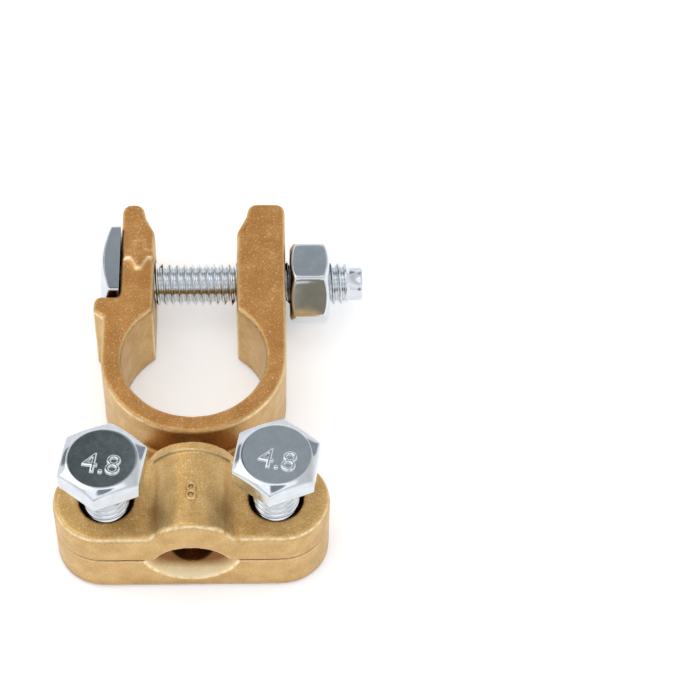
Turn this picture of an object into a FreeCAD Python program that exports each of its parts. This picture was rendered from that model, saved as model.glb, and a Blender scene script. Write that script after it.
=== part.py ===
import FreeCAD, Part
import math
import os
import Sketcher

# Battery terminal clamp of cast brass, in millimetres.
# The frame's origin lies on the axis of the post bore, in the plane of the flat underside.
# +Z points up out of the battery, -Y towards the cable, and the nut is on the +X side.
# One casting carries the split ring, its two ears, the neck and the lower cable plate.
# A loose cap closes over the cable, held by two hexagon bolts that screw into the casting.
# A square-headed bolt and a nut pull the ears together round the post.

doc = FreeCAD.newDocument("battery_terminal_clamp")
sheet = doc.addObject("Spreadsheet::Sheet", "Sizes")

SIZES = {
    # Split ring round the battery post
    "bore_radius": 9.5,
    "ring_wall": 2.7,
    "ring_height": 12.0,
    # Ears: the right one runs on from the outside of the ring, the left one is thinner
    "ear_gap": 11.2,
    "left_ear_wall": 4.5,
    "ear_beyond_bolt": 9.9,
    "mouth_length": 5.0,
    "mouth_tip_length": 2.1,
    "mouth_step": 1.3,
    "mouth_taper": 0.35,
    "ear_tip_round": 1.6,
    # Ledge beside the left ear, which stops the square head from turning
    "ledge_step": 1.3,
    "ledge_length": 2.6,
    "ledge_slope": 1.1,
    "ledge_round": 1.0,
    "ledge_clearance": 0.6,
    # Clamp bolt across the ears and its nut
    "thread_radius": 3.0,
    "thread_play": 0.05,
    "hole_clearance": 0.3,
    "clamp_bolt_place": 16.1,
    "bolt_above_middle": 0.5,
    "clamp_bolt_length": 31.2,
    "clamp_dog_radius": 2.3,
    "clamp_dog_length": 1.8,
    "square_head_width": 11.0,
    "square_head_height": 12.0,
    "square_head_thickness": 2.6,
    "square_head_face_radius": 5.2,
    "square_head_bevel": 2.7,
    "head_gap": 0.1,
    "nut_width": 10.4,
    "nut_thickness": 5.4,
    "nut_gap": 0.6,
    "nut_face_radius": 4.9,
    "nut_bevel": 0.6,
    "nut_countersink": 0.35,
    # Cable plates: the lower one is part of the casting, the upper one is the cap
    "plate_length": 35.0,
    "plate_depth": 12.6,
    "plate_place": -21.7,
    "base_thickness": 6.3,
    "cap_thickness": 4.7,
    "seam_gap": 0.15,
    "neck_width": 14.0,
    "neck_round": 2.0,
    # Cable channel between the plates
    "cable_radius": 2.9,
    "cable_stop": 1.6,
    "mouth_half_width": 6.0,
    "mouth_drop": 4.3,
    "cap_mouth_half_width": 4.9,
    "cap_mouth_rise": 3.0,
    "mouth_depth": 3.6,
    # Hump of the cap over the cable, with a bead along its rear end
    "hump_radius": 5.4,
    "hump_rise": 3.1,
    "hump_round": 1.8,
    "bead_width": 1.2,
    "bead_rise": 0.35,
    # Cable bolts
    "cable_bolt_spacing": 21.4,
    "cap_hole_clearance": 0.45,
    "cable_bolt_length": 16.0,
    "left_bolt_lift": 6.2,
    "right_bolt_lift": 6.8,
    "hex_head_width": 10.3,
    "hex_head_thickness": 3.0,
    "hex_head_face_radius": 4.4,
    "hex_head_bevel": 1.1,
    "hex_head_turn": 21.0,
    "bolt_end_bevel": 0.6,
    "tapped_hole_bevel": 0.4,
    # Edges of the castings
    "plate_edge_round": 0.8,
    "top_edge_bevel": 0.35,
    "base_edge_bevel": 0.45,
}
for row, (alias, number) in enumerate(SIZES.items(), start=1):
    sheet.set(f"A{row}", alias)
    sheet.set(f"B{row}", str(number))
    sheet.setAlias(f"B{row}", alias)
doc.recompute()

# Places that several pieces share, as formulas of the sheet
SEAM = "(Sizes.base_thickness + Sizes.seam_gap / 2)"
RING_SIDE = "(Sizes.bore_radius + Sizes.ring_wall)"
EAR_INSIDE = "(Sizes.ear_gap / 2)"
LEFT_EAR_SIDE = "(Sizes.ear_gap / 2 + Sizes.left_ear_wall)"
EAR_END = "(Sizes.clamp_bolt_place + Sizes.ear_beyond_bolt)"
LEDGE_REAR = "(Sizes.clamp_bolt_place - Sizes.square_head_width / 2 - Sizes.ledge_clearance)"
LEDGE_SIDE = "(Sizes.bore_radius + Sizes.ring_wall + Sizes.ledge_step)"
PLATE_FRONT = "(Sizes.plate_place - Sizes.plate_depth / 2)"
PLATE_REAR = "(Sizes.plate_place + Sizes.plate_depth / 2)"
PLATE_ROUND = "(Sizes.plate_depth / 2)"
PLATE_ARM = "(Sizes.plate_length / 2 - Sizes.plate_depth / 2)"
CAP_BOTTOM = "(Sizes.base_thickness + Sizes.seam_gap)"
CAP_TOP = "(Sizes.base_thickness + Sizes.seam_gap + Sizes.cap_thickness)"
BOLT_HEIGHT = "(Sizes.ring_height / 2 + Sizes.bolt_above_middle)"
BOLT_ARM = "(Sizes.cable_bolt_spacing / 2)"
SHANK_RADIUS = "(Sizes.thread_radius - Sizes.thread_play)"

# Cuts run this much past the faces that they open, and ridges start this much inside their plate
OVERRUN = 1.0
# Two places closer than this count as the same place
SAME = 0.02
# A round takes at most this share of the wall that it ends
ROUND_SHARE = 0.45
# Where an edge's course is looked at, as shares of its length
ALONG_EDGE = (0.0, 0.3, 0.7, 1.0)
# A hexagon is drawn with its first corner this far round from the X axis, in degrees
FIRST_CORNER = 30.0


def value(formula):
    """The number that a formula of the sheet stands for."""
    return float(sheet.evalExpression(formula))


def origin_part(body, role):
    return next(part for part in body.Origin.OriginFeatures if part.Role == role)


def sketch_on(body, name, role, offset="0"):
    """A sketch on one of the body's own planes, moved along the plane's normal."""
    sketch = body.newObject("Sketcher::SketchObject", name)
    sketch.AttachmentSupport = (origin_part(body, role), [""])
    sketch.MapMode = "FlatFace"
    sketch.setExpression("AttachmentOffset.Base.z", offset)
    return sketch


def bind(sketch, formula, kind, *targets):
    """One dimension of a sketch, which follows a formula of the sheet."""
    index = sketch.addConstraint(Sketcher.Constraint(kind, *targets, value(formula)))
    sketch.setExpression(f"Constraints[{index}]", formula)


def place(sketch, geometry, end, point):
    """Holds one point of a sketch at two formulas, measured from the sketch's origin."""
    bind(sketch, point[0], "DistanceX", -1, 1, geometry, end)
    bind(sketch, point[1], "DistanceY", -1, 1, geometry, end)


def at(point):
    return FreeCAD.Vector(value(point[0]), value(point[1]), 0)


def outline(sketch, points):
    """A closed outline of straight lines through points given as formulas."""
    following = points[1:] + points[:1]
    lines = [sketch.addGeometry(Part.LineSegment(at(a), at(b))) for a, b in zip(points, following)]
    for line, after in zip(lines, lines[1:] + lines[:1]):
        sketch.addConstraint(Sketcher.Constraint("Coincident", line, 2, after, 1))
    for line, point in zip(lines, points):
        place(sketch, line, 1, point)


def circle(sketch, centre, radius):
    shape = Part.Circle(at(centre), FreeCAD.Vector(0, 0, 1), value(radius))
    index = sketch.addGeometry(shape)
    bind(sketch, radius, "Radius", index)
    place(sketch, index, 3, centre)


def arc(sketch, centre, radius, start, end):
    shape = Part.Circle(at(centre), FreeCAD.Vector(0, 0, 1), value(radius))
    return sketch.addGeometry(Part.ArcOfCircle(shape, start, end))


def stadium(sketch, arm, middle, radius):
    """A bar with round ends, whose end centres lie at -arm and +arm."""
    right = arc(sketch, (arm, middle), radius, -math.pi / 2, math.pi / 2)
    left = arc(sketch, (f"-{arm}", middle), radius, math.pi / 2, 3 * math.pi / 2)
    high, low = f"{middle} + {radius}", f"{middle} - {radius}"
    top = sketch.addGeometry(Part.LineSegment(at((arm, high)), at((f"-{arm}", high))))
    bottom = sketch.addGeometry(Part.LineSegment(at((f"-{arm}", low)), at((arm, low))))
    for first, second in ((right, top), (top, left), (left, bottom), (bottom, right)):
        sketch.addConstraint(Sketcher.Constraint("Tangent", first, 2, second, 1))
    for index, centre in ((right, arm), (left, f"-{arm}")):
        bind(sketch, radius, "Radius", index)
        place(sketch, index, 3, (centre, middle))


def hump_profile(sketch, radius, centre, foot):
    """The part of a circle above a level line, as seen from the front."""
    half = math.sqrt(value(radius) ** 2 - (value(foot) - value(centre)) ** 2)
    start = math.atan2(value(foot) - value(centre), half)
    top = arc(sketch, ("0", centre), radius, start, math.pi - start)
    ends = [FreeCAD.Vector(x, value(foot), 0) for x in (-half, half)]
    base = sketch.addGeometry(Part.LineSegment(*ends))
    sketch.addConstraint(Sketcher.Constraint("Coincident", top, 2, base, 1))
    sketch.addConstraint(Sketcher.Constraint("Coincident", base, 2, top, 1))
    sketch.addConstraint(Sketcher.Constraint("Horizontal", base))
    bind(sketch, radius, "Radius", top)
    place(sketch, top, 3, ("0", centre))
    bind(sketch, foot, "DistanceY", -1, 1, base, 1)


def pad(body, name, sketch, length, backwards=False):
    feature = body.newObject("PartDesign::Pad", name)
    feature.Profile = sketch
    feature.setExpression("Length", length)
    feature.Reversed = backwards
    return feature


def pocket(body, name, sketch, length, backwards=False):
    feature = body.newObject("PartDesign::Pocket", name)
    feature.Profile = sketch
    feature.setExpression("Length", length)
    feature.Reversed = backwards
    return feature


def turned_cut(body, name, corners):
    """Cuts a ring whose section is given as (radius, height) formulas about the body's Z axis."""
    sketch = sketch_on(body, f"{name}_section", "XZ_Plane")
    outline(sketch, corners)
    feature = body.newObject("PartDesign::Groove", name)
    feature.Profile = sketch
    feature.ReferenceAxis = (sketch, ["V_Axis"])
    feature.Angle = 360
    return feature


def edges_where(feature, test):
    """Names of the feature's edges that pass a test, for a fillet or a chamfer."""
    doc.recompute()
    return [f"Edge{i}" for i, edge in enumerate(feature.Shape.Edges, start=1) if test(edge)]


def rounded(body, name, radius, test):
    """Rounds those edges of the body as it stands that pass the test."""
    base = body.Tip
    names = edges_where(base, test)
    if not names:
        raise ValueError(f"no edge to round for {name}")
    feature = body.newObject("PartDesign::Fillet", name)
    feature.Base = (base, names)
    feature.setExpression("Radius", radius)
    body.Tip = feature
    return feature


def bevelled(body, name, size, test):
    """Bevels those edges of the body as it stands that pass the test."""
    base = body.Tip
    names = edges_where(base, test)
    if not names:
        raise ValueError(f"no edge to bevel for {name}")
    feature = body.newObject("PartDesign::Chamfer", name)
    feature.Base = (base, names)
    feature.setExpression("Size", size)
    body.Tip = feature
    return feature


def is_upright(edge):
    low, high = edge.BoundBox.ZMin, edge.BoundBox.ZMax
    return edge.BoundBox.XLength < SAME and edge.BoundBox.YLength < SAME and high - low > SAME


def stands_at(edge, x, y):
    """True for an upright edge over the given place."""
    centre = edge.BoundBox.Center
    return is_upright(edge) and abs(centre.x - x) < SAME and abs(centre.y - y) < SAME


def is_level(edge, height):
    return abs(edge.BoundBox.ZMin - height) < SAME and abs(edge.BoundBox.ZMax - height) < SAME


def is_round(edge, radius):
    return isinstance(edge.Curve, Part.Circle) and abs(edge.Curve.Radius - radius) < SAME


def on_stadium(edge):
    """True for an edge that follows the outline of the cable plates, seen from above."""
    arm, middle, radius = value(PLATE_ARM), value("Sizes.plate_place"), value(PLATE_ROUND)
    start, end = edge.ParameterRange
    for share in ALONG_EDGE:
        point = edge.valueAt(start + share * (end - start))
        beyond = max(abs(point.x) - arm, 0.0)
        if abs(math.hypot(beyond, point.y - middle) - radius) > SAME:
            return False
    return True


def cable_channel(body, name, half_width, bite, upward):
    """Cuts the cable's round channel and its flared mouth, a shallow bowl in the front face.

    The bowl is part of a ball: its rim in the front face is a circle as wide as the mouth
    where the plates meet, and bite deep into this plate.
    """
    channel = sketch_on(body, f"{name}_round", "XZ_Plane", f"-{PLATE_FRONT} + {OVERRUN}")
    circle(channel, ("0", SEAM), "Sizes.cable_radius")
    length = f"Sizes.plate_depth + Sizes.cable_stop + {OVERRUN}"
    pocket(body, f"{name}_channel", channel, length)
    rim = f"(({half_width} ^ 2 + {bite} ^ 2) / (2 * {bite}))"
    ball = f"(({rim} ^ 2 / Sizes.mouth_depth + Sizes.mouth_depth) / 2)"
    mouth = body.newObject("PartDesign::SubtractiveSphere", f"{name}_mouth")
    mouth.setExpression("Radius", ball)
    mouth.setExpression("Placement.Base.y", f"{PLATE_FRONT} + Sizes.mouth_depth - {ball}")
    mouth.setExpression("Placement.Base.z", f"{SEAM} {upward} ({bite} - {rim})")


def make_clamp_body():
    """The casting: split ring, ears, ledge, neck and lower cable plate."""
    body = doc.addObject("PartDesign::Body", "clamp_body")
    ring = sketch_on(body, "ring_outline", "XY_Plane")
    circle(ring, ("0", "0"), RING_SIDE)
    pad(body, "ring", ring, "Sizes.ring_height")

    step = f"{EAR_INSIDE} + Sizes.mouth_step"
    tip = f"{EAR_INSIDE} + Sizes.mouth_step + Sizes.mouth_taper"
    mouth_start = f"{EAR_END} - Sizes.mouth_length"
    mouth_middle = f"{EAR_END} - Sizes.mouth_tip_length"
    right_ear = sketch_on(body, "right_ear_outline", "XY_Plane")
    outline(right_ear, [
        (EAR_INSIDE, "0"),
        (RING_SIDE, "0"),
        (RING_SIDE, EAR_END),
        (tip, EAR_END),
        (step, mouth_middle),
        (EAR_INSIDE, mouth_start),
    ])
    pad(body, "right_ear", right_ear, "Sizes.ring_height")

    left_ear = sketch_on(body, "left_ear_outline", "XY_Plane")
    ledge_front = f"{LEDGE_REAR} - Sizes.ledge_length"
    outline(left_ear, [
        (f"-{EAR_INSIDE}", "0"),
        (f"-{EAR_INSIDE}", mouth_start),
        (f"-({step})", mouth_middle),
        (f"-({tip})", EAR_END),
        (f"-{LEFT_EAR_SIDE}", EAR_END),
        (f"-{LEFT_EAR_SIDE}", LEDGE_REAR),
        (f"-{LEDGE_SIDE}", LEDGE_REAR),
        (f"-{LEDGE_SIDE}", ledge_front),
        (f"-{RING_SIDE}", f"{ledge_front} - Sizes.ledge_slope"),
        (f"-{RING_SIDE}", "0"),
    ])
    pad(body, "left_ear", left_ear, "Sizes.ring_height")

    plate = sketch_on(body, "plate_outline", "XY_Plane")
    stadium(plate, PLATE_ARM, "Sizes.plate_place", PLATE_ROUND)
    pad(body, "plate", plate, "Sizes.base_thickness")
    neck = sketch_on(body, "neck_outline", "XY_Plane")
    outline(neck, [
        ("-Sizes.neck_width / 2", "0"),
        ("-Sizes.neck_width / 2", "Sizes.plate_place"),
        ("Sizes.neck_width / 2", "Sizes.plate_place"),
        ("Sizes.neck_width / 2", "0"),
    ])
    pad(body, "neck", neck, "Sizes.base_thickness")

    bore = sketch_on(body, "bore_outline", "XY_Plane", "Sizes.ring_height")
    circle(bore, ("0", "0"), "Sizes.bore_radius")
    pocket(body, "bore", bore, "Sizes.ring_height")
    split = sketch_on(body, "split_outline", "XY_Plane", "Sizes.ring_height")
    outline(split, [
        (f"-{EAR_INSIDE}", "0"),
        (EAR_INSIDE, "0"),
        (EAR_INSIDE, RING_SIDE),
        (f"-{EAR_INSIDE}", RING_SIDE),
    ])
    pocket(body, "split", split, "Sizes.ring_height")

    half_neck = value("Sizes.neck_width") / 2
    ring_side = value(RING_SIDE)
    neck_start = -math.sqrt(ring_side ** 2 - half_neck ** 2)
    plate_rear = value(PLATE_REAR)
    rounded(body, "neck_rounds", "Sizes.neck_round", lambda edge: any(
        stands_at(edge, side * half_neck, y) for side in (-1, 1) for y in (neck_start, plate_rear)))

    bolt_hole = sketch_on(body, "bolt_hole_outline", "YZ_Plane", f"{RING_SIDE} + {OVERRUN}")
    circle(bolt_hole, ("Sizes.clamp_bolt_place", BOLT_HEIGHT),
           "Sizes.thread_radius + Sizes.hole_clearance")
    pocket(body, "bolt_hole", bolt_hole, f"2 * ({RING_SIDE} + {OVERRUN})")
    tapped = sketch_on(body, "tapped_hole_outline", "XY_Plane", "Sizes.base_thickness")
    for arm in (f"-{BOLT_ARM}", BOLT_ARM):
        circle(tapped, (arm, "Sizes.plate_place"), "Sizes.thread_radius")
    pocket(body, "tapped_holes", tapped, "Sizes.base_thickness")
    cable_channel(body, "lower_cable", "Sizes.mouth_half_width", "Sizes.mouth_drop", "-")

    ear_end = value(EAR_END)
    left_side = value(LEFT_EAR_SIDE)
    inner_tip = value(tip)
    corners = [(-left_side, ear_end), (-inner_tip, ear_end), (inner_tip, ear_end), (ring_side, ear_end)]
    widest = f"min(Sizes.ear_tip_round; {ROUND_SHARE} * ({LEFT_EAR_SIDE} - ({tip})))"
    rounded(body, "ear_tips", widest, lambda edge: any(
        stands_at(edge, x, y) for x, y in corners))
    ledge = (-value(LEDGE_SIDE), value(LEDGE_REAR))
    rounded(body, "ledge_corner", "Sizes.ledge_round", lambda edge: stands_at(edge, *ledge))
    hole = value("Sizes.thread_radius")
    faces = (0, value("Sizes.base_thickness"))
    bevelled(body, "tapped_hole_bevels", "Sizes.tapped_hole_bevel", lambda edge: any(
        is_level(edge, z) and is_round(edge, hole) for z in faces))
    mouth_radius = hole + value("Sizes.tapped_hole_bevel")
    bevelled(body, "bottom_edges", "Sizes.base_edge_bevel", lambda edge: (
        is_level(edge, 0) and not is_round(edge, mouth_radius)))
    ring_top = value("Sizes.ring_height")
    bevelled(body, "top_edges", "Sizes.top_edge_bevel", lambda edge: is_level(edge, ring_top))
    return body


def make_cable_cap():
    """The loose upper plate, with a hump over the cable."""
    body = doc.addObject("PartDesign::Body", "cable_cap")
    plate = sketch_on(body, "cap_outline", "XY_Plane", CAP_BOTTOM)
    stadium(plate, PLATE_ARM, "Sizes.plate_place", PLATE_ROUND)
    pad(body, "cap_plate", plate, "Sizes.cap_thickness")

    hump = sketch_on(body, "hump_outline", "XZ_Plane", f"-{PLATE_FRONT}")
    centre = f"{CAP_TOP} + Sizes.hump_rise - Sizes.hump_radius"
    foot = f"{CAP_TOP} - {OVERRUN}"
    hump_profile(hump, "Sizes.hump_radius", centre, foot)
    pad(body, "hump", hump, "Sizes.plate_depth", backwards=True)
    cap_top = value(CAP_TOP)
    long_enough = value("Sizes.plate_depth") / 2
    half_hump = value("Sizes.hump_radius")
    rounded(body, "hump_flanks", "Sizes.hump_round", lambda edge: (
        is_level(edge, cap_top) and edge.BoundBox.XLength < SAME
        and edge.BoundBox.YLength > long_enough and abs(edge.BoundBox.Center.x) < half_hump))
    bead = sketch_on(body, "bead_outline", "XZ_Plane", f"-{PLATE_REAR}")
    hump_profile(bead, "Sizes.hump_radius + Sizes.bead_rise", centre, foot)
    pad(body, "bead", bead, "Sizes.bead_width")

    holes = sketch_on(body, "cap_hole_outline", "XY_Plane", CAP_TOP)
    for arm in (f"-{BOLT_ARM}", BOLT_ARM):
        circle(holes, (arm, "Sizes.plate_place"), "Sizes.thread_radius + Sizes.cap_hole_clearance")
    pocket(body, "cap_holes", holes, "Sizes.cap_thickness")
    cable_channel(body, "upper_cable", "Sizes.cap_mouth_half_width", "Sizes.cap_mouth_rise", "+")
    front = value(PLATE_FRONT)
    rounded(body, "cap_top_edges", "Sizes.plate_edge_round", lambda edge: (
        is_level(edge, cap_top) and on_stadium(edge)
        or abs(edge.BoundBox.YMax - front) < SAME and edge.BoundBox.ZMin > cap_top - SAME))
    return body


def hexagon(sketch, width):
    """A hexagon about the sketch's origin, with two flats facing -X and +X."""
    corner = f"{width} / sqrt(3)"
    half = f"{width} / 2"
    outline(sketch, [
        (half, f"-{corner} / 2"),
        (half, f"{corner} / 2"),
        ("0", corner),
        (f"-{half}", f"{corner} / 2"),
        (f"-{half}", f"-{corner} / 2"),
        ("0", f"-{corner}"),
    ])


def round_bar(body, name, radius, length):
    """A round bar from the body's XY plane, up its Z axis."""
    sketch = sketch_on(body, f"{name}_outline", "XY_Plane")
    circle(sketch, ("0", "0"), radius)
    return pad(body, name, sketch, length)


def put(body, x, y, z, axis=(0, 0, 1), turn=0.0):
    """Places a body that was drawn about its own Z axis."""
    body.Placement = FreeCAD.Placement(FreeCAD.Vector(), FreeCAD.Rotation(FreeCAD.Vector(*axis), turn))
    for name, formula in (("x", x), ("y", y), ("z", z)):
        body.setExpression(f"Placement.Base.{name}", formula)


def make_clamp_bolt():
    """The square-headed bolt, drawn with its head below the XY plane and its shank up."""
    body = doc.addObject("PartDesign::Body", "clamp_bolt")
    head = sketch_on(body, "square_head_outline", "XY_Plane")
    high, wide = "Sizes.square_head_height / 2", "Sizes.square_head_width / 2"
    outline(head, [
        (f"-{high}", f"-{wide}"),
        (high, f"-{wide}"),
        (high, wide),
        (f"-{high}", wide),
    ])
    pad(body, "square_head", head, "Sizes.square_head_thickness", backwards=True)
    corner = "(Sizes.square_head_height + Sizes.square_head_width) / 2"
    face = "-Sizes.square_head_thickness"
    turned_cut(body, "square_head_bevels", [
        ("Sizes.square_head_face_radius", face),
        (corner, face),
        (corner, f"{face} + Sizes.square_head_bevel"),
    ])
    round_bar(body, "clamp_thread", SHANK_RADIUS, "Sizes.clamp_bolt_length")
    round_bar(body, "clamp_dog", "Sizes.clamp_dog_radius",
              "Sizes.clamp_bolt_length + Sizes.clamp_dog_length")
    end = value("Sizes.clamp_bolt_length")
    bevelled(body, "clamp_thread_end", "Sizes.bolt_end_bevel / 2", lambda edge: (
        is_level(edge, end) and edge.BoundBox.XLength > 2 * value("Sizes.clamp_dog_radius") + SAME))
    put(body, f"-({LEFT_EAR_SIDE} + Sizes.head_gap)", "Sizes.clamp_bolt_place", BOLT_HEIGHT,
        axis=(0, 1, 0), turn=90)
    return body


def make_clamp_nut():
    """The hexagon nut against the right ear, drawn up the Z axis."""
    body = doc.addObject("PartDesign::Body", "clamp_nut")
    outside = sketch_on(body, "nut_outline", "XY_Plane")
    hexagon(outside, "Sizes.nut_width")
    pad(body, "nut_blank", outside, "Sizes.nut_thickness")
    bore = sketch_on(body, "nut_bore_outline", "XY_Plane", "Sizes.nut_thickness")
    circle(bore, ("0", "0"), "Sizes.thread_radius")
    pocket(body, "nut_bore", bore, "Sizes.nut_thickness")
    corner = "Sizes.nut_width / sqrt(3) + Sizes.nut_bevel"
    for name, face, inward in (("inner", "0", "+"), ("outer", "Sizes.nut_thickness", "-")):
        turned_cut(body, f"nut_{name}_bevels", [
            ("Sizes.nut_face_radius", face),
            (corner, face),
            (corner, f"{face} {inward} Sizes.nut_bevel"),
        ])
    ends = (0, value("Sizes.nut_thickness"))
    bore_width = 2 * value("Sizes.thread_radius")
    bevelled(body, "nut_countersinks", "Sizes.nut_countersink", lambda edge: any(
        is_level(edge, z) and abs(edge.BoundBox.XLength - bore_width) < SAME for z in ends))
    put(body, f"{RING_SIDE} + Sizes.nut_gap", "Sizes.clamp_bolt_place", BOLT_HEIGHT,
        axis=(0, 1, 0), turn=90)
    return body


def make_cable_bolt(name, side, lift):
    """A hexagon bolt, drawn with the underside of its head in the XY plane."""
    body = doc.addObject("PartDesign::Body", name)
    head = sketch_on(body, f"{name}_head_outline", "XY_Plane")
    hexagon(head, "Sizes.hex_head_width")
    pad(body, f"{name}_head", head, "Sizes.hex_head_thickness")
    corner = "Sizes.hex_head_width / sqrt(3) + Sizes.hex_head_bevel"
    top = "Sizes.hex_head_thickness"
    turned_cut(body, f"{name}_head_bevels", [
        ("Sizes.hex_head_face_radius", top),
        (corner, top),
        (corner, f"{top} - Sizes.hex_head_bevel"),
    ])
    shank = sketch_on(body, f"{name}_shank_outline", "XY_Plane")
    circle(shank, ("0", "0"), SHANK_RADIUS)
    pad(body, f"{name}_shank", shank, "Sizes.cable_bolt_length", backwards=True)
    end = -value("Sizes.cable_bolt_length")
    bevelled(body, f"{name}_end", "Sizes.bolt_end_bevel", lambda edge: is_level(edge, end))
    put(body, f"{side} * {BOLT_ARM}", "Sizes.plate_place",
        f"{CAP_TOP} + {lift}", turn=value("Sizes.hex_head_turn") - FIRST_CORNER)
    return body


pieces = [
    make_clamp_body(),
    make_cable_cap(),
    make_clamp_bolt(),
    make_clamp_nut(),
    make_cable_bolt("left_cable_bolt", -1, "Sizes.left_bolt_lift"),
    make_cable_bolt("right_cable_bolt", 1, "Sizes.right_bolt_lift"),
]
doc.recompute()

for item in doc.Objects:
    if "Invalid" in item.State or "Error" in item.State:
        raise RuntimeError(f"{item.Name} did not build: {item.State}")
os.makedirs("parts", exist_ok=True)
for piece in pieces:
    piece.Label = piece.Name
    shape = piece.Shape
    if shape.isNull() or not shape.isValid() or len(shape.Solids) != 1:
        raise RuntimeError(f"{piece.Label} is not one valid solid")
    box = shape.optimalBoundingBox(False, False)
    print(f"{piece.Label}: {shape.Volume:.1f} mm3, X {box.XMin:.2f} to {box.XMax:.2f}, "
          f"Y {box.YMin:.2f} to {box.YMax:.2f}, Z {box.ZMin:.2f} to {box.ZMax:.2f}")
for piece in pieces:
    piece.Shape.exportStep(f"parts/{piece.Label}.step")
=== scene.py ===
# %% [markdown]
# # A battery terminal clamp
#
# This clamp joins a thick cable to the round lead post of a car battery. It is a brass
# casting with a split ring, a loose brass cap over the cable, and four zinc-plated steel
# fasteners. The construction is already fixed, at its real size. What is made here is the
# look: the sand-cast skin of the brass, the rolled threads and pressed heads of the bolts,
# the raised marks, and a plain studio round them.

# %% Load the construction
import math

import bmesh
import bpy
from mathutils import Euler, Matrix, Vector
from mathutils.kdtree import KDTree


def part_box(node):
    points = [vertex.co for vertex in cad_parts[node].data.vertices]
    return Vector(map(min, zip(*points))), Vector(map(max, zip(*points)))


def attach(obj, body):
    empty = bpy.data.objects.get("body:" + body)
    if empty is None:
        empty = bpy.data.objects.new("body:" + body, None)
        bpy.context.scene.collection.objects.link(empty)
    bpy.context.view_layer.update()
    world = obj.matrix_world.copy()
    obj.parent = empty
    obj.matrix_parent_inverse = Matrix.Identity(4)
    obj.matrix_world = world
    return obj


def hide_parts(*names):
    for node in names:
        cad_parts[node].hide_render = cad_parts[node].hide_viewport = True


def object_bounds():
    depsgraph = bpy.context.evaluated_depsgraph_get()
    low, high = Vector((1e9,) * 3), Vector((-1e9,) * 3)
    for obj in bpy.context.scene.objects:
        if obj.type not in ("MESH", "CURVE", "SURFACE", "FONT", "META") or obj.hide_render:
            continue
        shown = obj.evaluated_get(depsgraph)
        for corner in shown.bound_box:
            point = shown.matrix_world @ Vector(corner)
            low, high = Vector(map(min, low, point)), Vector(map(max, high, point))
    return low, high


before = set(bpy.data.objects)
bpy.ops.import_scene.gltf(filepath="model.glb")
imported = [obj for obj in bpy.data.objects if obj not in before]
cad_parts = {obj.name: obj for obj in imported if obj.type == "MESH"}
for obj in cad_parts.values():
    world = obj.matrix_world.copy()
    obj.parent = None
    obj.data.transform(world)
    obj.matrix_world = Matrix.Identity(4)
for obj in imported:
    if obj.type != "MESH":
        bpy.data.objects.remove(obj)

cad_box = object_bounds()
print("nodes:", ", ".join(sorted(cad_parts)))

# %% [markdown]
# ## Units
#
# Blender counts in metres, and a clamp is thought of in millimetres. So every size below is
# written in millimetres, and one factor turns it into metres where a mesh or a lamp needs it.

# %% Millimetres
MM = 0.001


def corners_of(node):
    """The lowest and highest corner of a node, in millimetres."""
    low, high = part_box(node)
    return low / MM, high / MM


for name in sorted(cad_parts):
    low, high = corners_of(name)
    print(name, "measures", [round(b - a, 2) for a, b in zip(low, high)], "mm")

# %% [markdown]
# ## The camera
#
# A long lens about a foot away looks down on the clamp at 54 degrees, from the cable's side.
# A short lens close by would show more of the walls and make the ring's rims lean apart. The
# long one keeps them nearly parallel, as they are in a catalogue picture. Its place and turn
# were fitted to the outlines of the ring, the ears and the heads.

# %% Camera
CAMERA_PLACE = (9.881, -178.4, 256.224)
CAMERA_TURN = (36.277, -1.409, -1.501)
FOCAL_LENGTH = 118.13
SENSOR_WIDTH = 36.0
NEAREST_SEEN = 10
FARTHEST_SEEN = 10000

camera_data = bpy.data.cameras.new("camera")
camera_data.lens = FOCAL_LENGTH
camera_data.sensor_width = SENSOR_WIDTH
camera_data.clip_start = NEAREST_SEEN * MM
camera_data.clip_end = FARTHEST_SEEN * MM
camera = bpy.data.objects.new("camera", camera_data)
camera.location = Vector(CAMERA_PLACE) * MM
camera.rotation_euler = Euler([math.radians(angle) for angle in CAMERA_TURN])
bpy.context.scene.collection.objects.link(camera)
bpy.context.scene.camera = camera
print("the camera is", round(Vector(CAMERA_PLACE).length), "mm from the ring's foot")

# %% [markdown]
# ## Nodes and colours
#
# A material is a small network of nodes. One helper adds a node, sets its settings and
# sockets, and returns it, so each network reads as a list of what it is made of. Colours
# are written as the hex values that a painter would pick, and one function makes them linear.
# The sockets of a Mix node share their names, so they go by number, and a few words stand for
# the numbers.

# %% Helpers for materials
# Of a Mix node for colours: its share, the colour under, the colour over, and the result
SHARE, UNDER, OVER, MIXED = 0, 6, 7, 2
# Most values of a noise lie between these
NOISE_LOW, NOISE_HIGH = 0.3, 0.7


def linear(hex_colour):
    """An sRGB colour such as B08850, as linear red, green, blue and alpha."""
    channels = [int(hex_colour[i:i + 2], 16) / 255 for i in (0, 2, 4)]
    return [c / 12.92 if c <= 0.04045 else ((c + 0.055) / 1.055) ** 2.4 for c in channels] + [1.0]


def add_node(tree, kind, sockets=None, **settings):
    """Adds a node. sockets maps an input to a value or to the output that feeds it."""
    node = tree.nodes.new(kind)
    for name, setting in settings.items():
        setattr(node, name, setting)
    for name, given in (sockets or {}).items():
        if isinstance(given, bpy.types.NodeSocket):
            tree.links.new(given, node.inputs[name])
        else:
            node.inputs[name].default_value = given
    return node


def empty_material(name):
    """A material with an empty network, and its output node."""
    material = bpy.data.materials.new(name)
    material.use_nodes = True
    material.node_tree.nodes.clear()
    output = add_node(material.node_tree, "ShaderNodeOutputMaterial")
    return material, material.node_tree, output


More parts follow.
